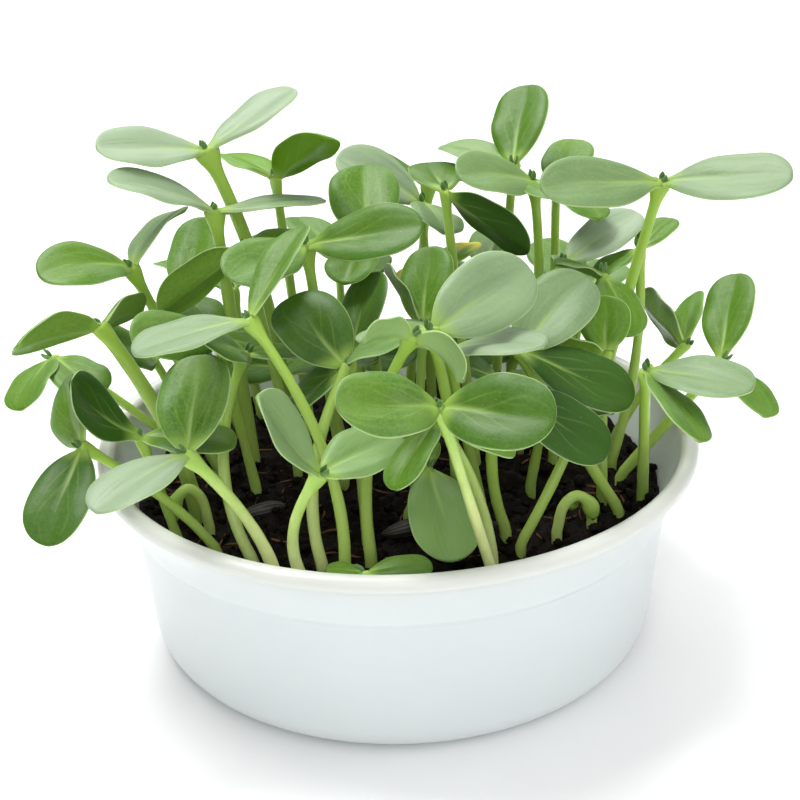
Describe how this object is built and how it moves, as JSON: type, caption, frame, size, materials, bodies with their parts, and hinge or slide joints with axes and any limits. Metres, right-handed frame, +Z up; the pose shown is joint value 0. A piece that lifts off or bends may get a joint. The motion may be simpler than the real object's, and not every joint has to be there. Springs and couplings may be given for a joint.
{
  "type": "sunflower microgreens tray",
  "caption": "Round white plastic tub of dark compost with a dense stand of young sunflower shoots, each with two oval seed leaves on a pale stem.",
  "frame": {"origin": "centre of the tub's flat underside", "axes": "+Z up, out of the tub; -Y towards the front, where the long shoots lean over the rim; +X to the right seen from the front"},
  "size_m": [0.1835, 0.1632, 0.1324],
  "materials": {
    "tub": "satin",
    "compost": "matte",
    "leaf": "satin",
    "sprout": "satin"
  },
  "bodies": {
    "root": {"tub": "tub", "compost": "compost", "plant_01": "leaf", "plant_02": "leaf", "plant_03": "leaf", "plant_04": "leaf", "plant_05": "leaf", "plant_06": "leaf", "plant_07": "leaf", "plant_08": "leaf", "plant_09": "leaf", "plant_10": "leaf", "plant_11": "leaf", "plant_12": "leaf", "plant_13": "leaf", "plant_14": "leaf", "plant_15": "leaf", "plant_16": "leaf", "plant_17": "leaf", "plant_18": "leaf", "plant_19": "leaf", "plant_20": "leaf", "plant_21": "leaf", "plant_22": "leaf", "plant_23": "leaf", "plant_24": "leaf", "plant_25": "leaf", "plant_26": "leaf", "plant_27": "leaf", "plant_28": "leaf", "plant_29": "leaf", "plant_30": "leaf", "plant_31": "leaf", "plant_32": "leaf", "plant_33": "leaf", "plant_34": "leaf", "plant_35": "leaf", "plant_36": "leaf", "plant_37": "leaf", "plant_38": "leaf", "plant_39": "leaf", "plant_40": "leaf", "plant_41": "leaf", "plant_42": "leaf", "plant_43": "leaf", "plant_44": "leaf", "plant_45": "leaf", "plant_46": "leaf", "plant_47": "leaf", "plant_48": "leaf", "plant_49": "leaf", "plant_50": "leaf", "plant_51": "leaf", "plant_52": "leaf", "plant_53": "leaf", "plant_54": "leaf", "plant_55": "leaf", "sprout_1": "sprout", "sprout_2": "sprout", "sprout_3": "sprout"}
  },
  "joints": []
}
